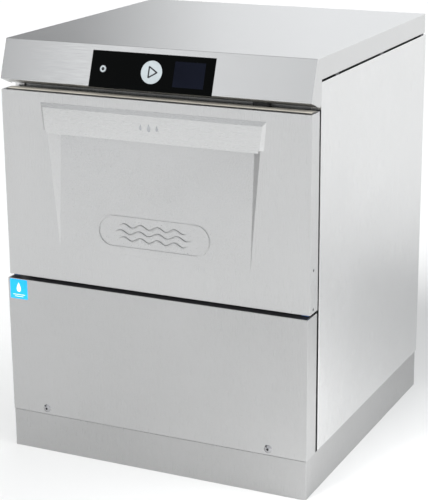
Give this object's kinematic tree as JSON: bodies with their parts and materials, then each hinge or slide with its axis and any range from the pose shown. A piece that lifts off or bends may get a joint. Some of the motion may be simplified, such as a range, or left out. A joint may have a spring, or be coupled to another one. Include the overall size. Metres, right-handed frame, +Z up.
{
  "type": "commercial dishwasher",
  "caption": "Front-loading undercounter dishwasher with a drop-down door, sloping control fascia, wash and rinse arms, pumps and tanks.",
  "frame": {"origin": "middle of the footprint, on the floor", "axes": "+X to the machine's right seen from the front, +Y to its back, +Z up"},
  "size_m": [0.608, 0.6228, 0.788],
  "materials": {
    "steel": "fine vertical brushing, satin",
    "steel_top": "fine brushing along the width, satin",
    "inner_steel": "mill finish",
    "screw": "polished",
    "foot": "zinc plated",
    "black_trim": "fine matt",
    "panel_glass": "polished black, back-printed glass",
    "display": "smoked window",
    "board": "solder mask",
    "button": "translucent satin",
    "seal": "moulded rubber",
    "bush": "moulded, blue",
    "pump_plastic": "glass-filled moulding",
    "motor": "enamel",
    "valve": "machined",
    "float_plastic": "moulded, white",
    "dosing_case": "moulded, grey"
  },
  "bodies": {
    "cabinet": {"hood": "steel_top", "fascia_flange": "steel", "control_glass": "panel_glass", "display_window": "display", "control_board": "board", "button_switches": "black_trim", "hood_clips": "black_trim", "side_panel_left": "steel", "side_panel_right": "steel", "back_panel": "inner_steel", "connection_tray": "inner_steel", "lower_front_panel": "steel", "panel_screws": "screw", "base_plinth": "steel", "chassis_frame": "inner_steel", "door_gasket": "seal", "hinge_pins": "screw", "door_springs": "screw", "door_switch": "black_trim", "chamber_front_frame": "inner_steel", "wash_chamber": "inner_steel", "rack_rails": "inner_steel", "strainer_plate": "inner_steel", "arm_spindles": "screw", "riser_duct": "inner_steel", "wash_pump_casing": "pump_plastic", "wash_pump_motor": "motor", "suction_hose": "seal", "drain_pump_casing": "pump_plastic", "drain_hose": "seal", "booster_tank": "inner_steel", "booster_heater": "screw", "tank_heater": "screw", "inlet_valve": "valve", "cable_gland": "black_trim", "level_stem": "screw", "dosing_pumps": "dosing_case"},
    "door": {"door_skin": "steel", "door_handle": "steel", "door_liner": "inner_steel", "door_screws": "screw", "hinge_arms": "inner_steel", "hinge_bushes": "bush", "door_magnet": "black_trim"},
    "start_button": {"start_button": "button"},
    "power_button": {"power_button": "button"},
    "strainer_basket": {"strainer_basket": "inner_steel"},
    "lower_wash_arm": {"lower_wash_arm": "inner_steel"},
    "lower_rinse_arm": {"lower_rinse_arm": "inner_steel"},
    "upper_wash_arm": {"upper_wash_arm": "inner_steel"},
    "upper_rinse_arm": {"upper_rinse_arm": "inner_steel"},
    "wash_impeller": {"wash_pump_impeller": "pump_plastic"},
    "drain_impeller": {"drain_pump_impeller": "pump_plastic"},
    "level_float": {"level_float": "float_plastic"},
    "dosing_rotor_wash": {"dosing_rotor_wash": "float_plastic"},
    "dosing_rotor_rinse": {"dosing_rotor_rinse": "float_plastic"},
    "foot_front_left": {"foot_front_left": "foot"},
    "foot_front_right": {"foot_front_right": "foot"},
    "foot_rear_left": {"foot_rear_left": "foot"},
    "foot_rear_right": {"foot_rear_right": "foot"}
  },
  "joints": [
    {"name": "door_hinge", "type": "hinge", "parent": "cabinet", "child": "door", "pos_m": [0, -0.287, 0.364], "axis": [1, 0, 0], "range_deg": [0, 90]},
    {"name": "start_button_press", "type": "slide", "parent": "cabinet", "child": "start_button", "axis": [0, 0.9397, -0.342], "range_m": [0, 0.0015], "stiffness_N_per_m": 500, "springref_m": -0.001},
    {"name": "power_button_press", "type": "slide", "parent": "cabinet", "child": "power_button", "axis": [0, 0.9397, -0.342], "range_m": [0, 0.0012], "stiffness_N_per_m": 400, "springref_m": -0.001},
    {"name": "lower_wash_arm_spin", "type": "hinge", "parent": "cabinet", "child": "lower_wash_arm", "pos_m": [0, 0.0145, 0.35], "axis": [0, 0, 1], "continuous": true},
    {"name": "lower_rinse_arm_spin", "type": "hinge", "parent": "cabinet", "child": "lower_rinse_arm", "pos_m": [0, 0.0145, 0.37], "axis": [0, 0, 1], "continuous": true},
    {"name": "upper_wash_arm_spin", "type": "hinge", "parent": "cabinet", "child": "upper_wash_arm", "pos_m": [0, 0.0145, 0.715], "axis": [0, 0, 1], "continuous": true},
    {"name": "upper_rinse_arm_spin", "type": "hinge", "parent": "cabinet", "child": "upper_rinse_arm", "pos_m": [0, 0.0145, 0.69], "axis": [0, 0, 1], "continuous": true},
    {"name": "basket_lift", "type": "slide", "parent": "cabinet", "child": "strainer_basket", "axis": [0, 0, 1], "range_m": [0, 0.07]},
    {"name": "wash_impeller_spin", "type": "hinge", "parent": "cabinet", "child": "wash_impeller", "pos_m": [-0.09, -0.1085, 0.138], "axis": [1, 0, 0], "continuous": true},
    {"name": "drain_impeller_spin", "type": "hinge", "parent": "cabinet", "child": "drain_impeller", "pos_m": [0.056, 0.1215, 0.138], "axis": [1, 0, 0], "continuous": true},
    {"name": "float_rise", "type": "slide", "parent": "cabinet", "child": "level_float", "axis": [0, 0, 1], "range_m": [0, 0.065]},
    {"name": "dosing_rotor_wash_spin", "type": "hinge", "parent": "cabinet", "child": "dosing_rotor_wash", "pos_m": [-0.246, -0.2085, 0.16], "axis": [0, 1, 0], "continuous": true},
    {"name": "dosing_rotor_rinse_spin", "type": "hinge", "parent": "cabinet", "child": "dosing_rotor_rinse", "pos_m": [-0.246, -0.2085, 0.25], "axis": [0, 1, 0], "continuous": true},
    {"name": "foot_front_left_screw", "type": "slide", "parent": "cabinet", "child": "foot_front_left", "axis": [0, 0, -1], "range_m": [0, 0.02]},
    {"name": "foot_front_right_screw", "type": "slide", "parent": "cabinet", "child": "foot_front_right", "axis": [0, 0, -1], "range_m": [0, 0.02]},
    {"name": "foot_rear_left_screw", "type": "slide", "parent": "cabinet", "child": "foot_rear_left", "axis": [0, 0, -1], "range_m": [0, 0.02]},
    {"name": "foot_rear_right_screw", "type": "slide", "parent": "cabinet", "child": "foot_rear_right", "axis": [0, 0, -1], "range_m": [0, 0.02]}
  ]
}
